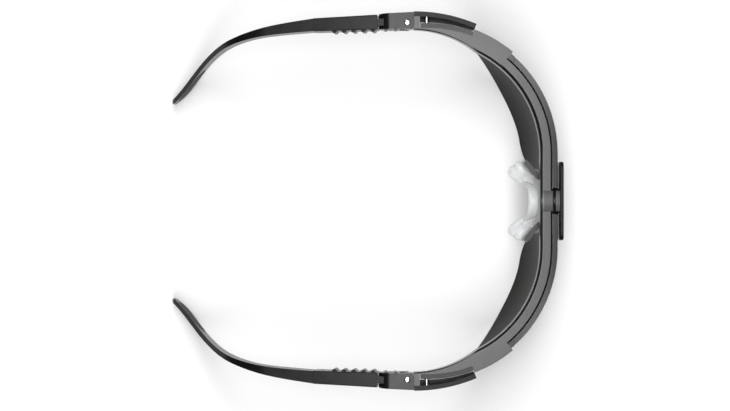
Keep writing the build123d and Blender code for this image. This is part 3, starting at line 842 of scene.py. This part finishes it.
@dataclass
class ScrewHead:
    """Domed screw head with a cross recess, over a hinge block."""

    nodes: dict[str, bpy.types.Object]
    side: Side
    radius: float = 1.25 * MM
    crown: float = 0.34 * MM
    cross_reach: float = 0.78 * MM
    cross_half: float = 0.17 * MM
    cross_depth: float = 0.42 * MM
    turn: float = 24.0
    dome_power: float = 2.6
    side_fade: float = 0.10 * MM
    end_fade: float = 0.16 * MM
    shank: float = 0.7 * MM
    skirt: float = 0.30 * MM
    neck: float = 0.32 * MM
    steps: int = 26
    around: int = 96

    def height(self, across: float, along: float) -> float:
        """Give the head's height above its rim.

        Args:
            across: First distance from the middle.
            along: Second distance from the middle.

        Returns:
            The height there.
        """
        reach = math.hypot(across, along) / self.radius
        dome = self.crown * (1 - reach**self.dome_power)
        arms = []
        for first, second in ((across, along), (along, across)):
            side_fall = max(0.0, abs(first) - self.cross_half) / self.side_fade
            end_fall = max(0.0, abs(second) - self.cross_reach) / self.end_fade
            arms.append(max(0.0, 1 - max(side_fall, end_fall)))
        return dome - self.cross_depth * max(arms) * (1 - 0.25 * reach)

    def circle(
        self,
        work: bmesh.types.BMesh,
        middle: Vector,
        radius: float,
        level: float,
    ) -> list[bmesh.types.BMVert]:
        """Add a level ring of points round the screw.

        Args:
            work: The mesh to add to.
            middle: The screw's middle.
            radius: The ring's radius.
            level: The ring's height.

        Returns:
            The ring's points.
        """
        turns = [2 * math.pi * k / self.around for k in range(self.around)]
        return [
            work.verts.new((middle.x + radius * math.cos(turn), middle.y + radius * math.sin(turn), level))
            for turn in turns
        ]

    def build(self) -> None:
        """Build the head over its shank and let it ride on the hinge block."""
        low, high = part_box(f"hinge_screw_{self.side.value}")
        middle = Vector(((low[0] + high[0]) / 2, (low[1] + high[1]) / 2, high[2]))
        rim = middle.z - self.crown
        work = bmesh.new()
        rings = []
        crown = work.verts.new((middle.x, middle.y, rim + self.height(0.0, 0.0)))
        spin = math.radians(self.turn) * self.side.sign
        for n in range(1, self.steps + 1):
            reach = self.radius * n / self.steps
            ring = []
            for k in range(self.around):
                turn = 2 * math.pi * k / self.around
                across, along = reach * math.cos(turn), reach * math.sin(turn)
                x = across * math.cos(spin) - along * math.sin(spin)
                y = across * math.sin(spin) + along * math.cos(spin)
                ring.append(work.verts.new((middle.x + x, middle.y + y, rim + self.height(across, along))))
            rings.append(ring)
        levels = ((self.radius, rim - self.skirt), (self.shank, rim - self.neck), (self.shank, low[2]))
        for radius, level in levels:
            rings.append(self.circle(work, middle, radius, level))
        skin_rings(work, crown, rings)
        screw = smooth_object(work, f"cross_screw_{self.side.value}")
        edge = screw.modifiers.new("crisp_edges", "EDGE_SPLIT")
        edge.split_angle = math.radians(50)
        STEEL.dress(screw)
        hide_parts(f"hinge_screw_{self.side.value}")
        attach(screw, f"hinge_{self.side.value}")
        LOG.info("%s screw built", self.side.value)


@dataclass
class Front:
    """The front: brow bar, shield, plate, clips, bead and nose piece."""

    nodes: dict[str, bpy.types.Object]
    plan: FrontPlan = field(default_factory=FrontPlan)
    brow_round: float = 0.35 * MM
    small_round: float = 0.2 * MM
    clip_round: float = 0.55 * MM

    def build(self) -> None:
        """Dress the front's pieces and add its mouldings."""
        for name, finish, width in (
            ("brow_bar", BROW, self.brow_round),
            ("shield_lens", SMOKE, self.small_round),
            ("bridge_plate", GLOSS, self.small_round),
            ("nose_bracket", NYLON, self.small_round),
        ):
            finish.dress(self.nodes[name])
            soften(self.nodes[name], width)
        for side in Side:
            GLOSS.dress(self.nodes[f"side_clip_{side.value}"])
            soften(self.nodes[f"side_clip_{side.value}"], self.clip_round)
            STEEL.dress(self.nodes[f"clip_pin_{side.value}"])
        BrowBead(self.plan).build()
        BossCap(self.plan).build()
        NosePiece(self.plan).build()
        LOG.info("front dressed")


@dataclass
class Temple:
    """One temple: hinge block, sleeve, arm, pad and their small metal pieces."""

    nodes: dict[str, bpy.types.Object]
    side: Side
    edge_round: float = 0.3 * MM

    def build(self) -> None:
        """Dress the temple's pieces and add its screw head and grip pad."""
        for name in ("hinge_block", "temple_sleeve", "temple_arm"):
            piece = self.nodes[f"{name}_{self.side.value}"]
            NYLON.dress(piece)
            soften(piece, self.edge_round)
        for name in ("tilt_pin", "stop_pin"):
            STEEL.dress(self.nodes[f"{name}_{self.side.value}"])
        ScrewHead(self.nodes, self.side).build()
        TipPad(self.nodes, self.side).build()
        LOG.info("%s temple dressed", self.side.value)


@dataclass
class Studio:
    """Floor, light and camera."""

    height: float = 0.750
    frame_width: float = 0.292
    aim: tuple[float, float] = (-0.0018, -0.00125)
    top: float = 0.050
    floor_half: float = 2.0
    floor_color: tuple[float, float, float] = (0.93, 0.93, 0.93)
    fill_light: float = 0.03
    box_size: tuple[float, float] = (0.36, 0.9)
    left_box: tuple[float, float, float] = (0.30, 0.0, 0.95)
    left_power: float = 7.0
    right_box: tuple[float, float, float] = (-0.27, 0.0, 0.95)
    right_power: float = 6.5

    def floor(self) -> None:
        """Lay a plain pale floor."""
        mesh = bpy.data.meshes.new("floor")
        half = self.floor_half
        mesh.from_pydata(
            [(-half, -half, 0), (half, -half, 0), (half, half, 0), (-half, half, 0)],
            [],
            [(0, 1, 2, 3)],
        )
        floor = link(mesh, "floor")
        made = bpy.data.materials.new("floor_paint")
        made.use_nodes = True
        shader = made.node_tree.nodes["Principled BSDF"]
        shader.inputs["Base Color"].default_value = (*self.floor_color, 1.0)
        shader.inputs["Roughness"].default_value = 0.9
        shader.inputs["Specular IOR Level"].default_value = 0.1
        mesh.materials.append(made)

    def light(
        self,
        name: str,
        at: tuple[float, float, float],
        size: tuple[float, float],
        power: float,
    ) -> None:
        """Hang a soft rectangular light aimed at the object.

        Args:
            name: The light's name.
            at: Its place in metres.
            size: Its two sides in metres.
            power: Its power in watts.
        """
        data = bpy.data.lights.new(name, "AREA")
        data.shape = "RECTANGLE"
        data.size, data.size_y = size
        data.energy = power
        lamp = bpy.data.objects.new(name, data)
        lamp.location = at
        lamp.rotation_euler = (-Vector(at)).to_track_quat("-Z", "Y").to_euler()
        bpy.context.collection.objects.link(lamp)

    def camera(self) -> None:
        """Set the camera straight above, with the front to the right of the view."""
        data = bpy.data.cameras.new("camera")
        camera = bpy.data.objects.new("camera", data)
        data.sensor_width = 36.0
        data.lens = data.sensor_width * (self.height - self.top) / self.frame_width
        data.clip_start = 0.01
        camera.location = (self.aim[0], self.aim[1], self.height)
        camera.rotation_euler = (0.0, 0.0, math.radians(-90))
        bpy.context.collection.objects.link(camera)
        bpy.context.scene.camera = camera

    def build(self) -> None:
        """Set out the floor, the lights and the camera."""
        self.floor()
        world = bpy.data.worlds.new("studio")
        world.use_nodes = True
        world.node_tree.nodes["Background"].inputs["Color"].default_value = (1.0, 1.0, 1.0, 1.0)
        world.node_tree.nodes["Background"].inputs["Strength"].default_value = self.fill_light
        bpy.context.scene.world = world
        bpy.context.scene.view_settings.view_transform = "Standard"
        self.light("left_box", self.left_box, self.box_size, self.left_power)
        self.light("right_box", self.right_box, self.box_size, self.right_power)
        self.camera()
        LOG.info("studio set")


def main() -> None:
    """Build the looks in order."""
    logging.basicConfig(level=logging.INFO)
    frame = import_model()
    nodes = frame["nodes"]
    Front(nodes).build()
    for side in Side:
        Temple(nodes, side).build()
    Studio().build()


if __name__ == "__main__":
    main()
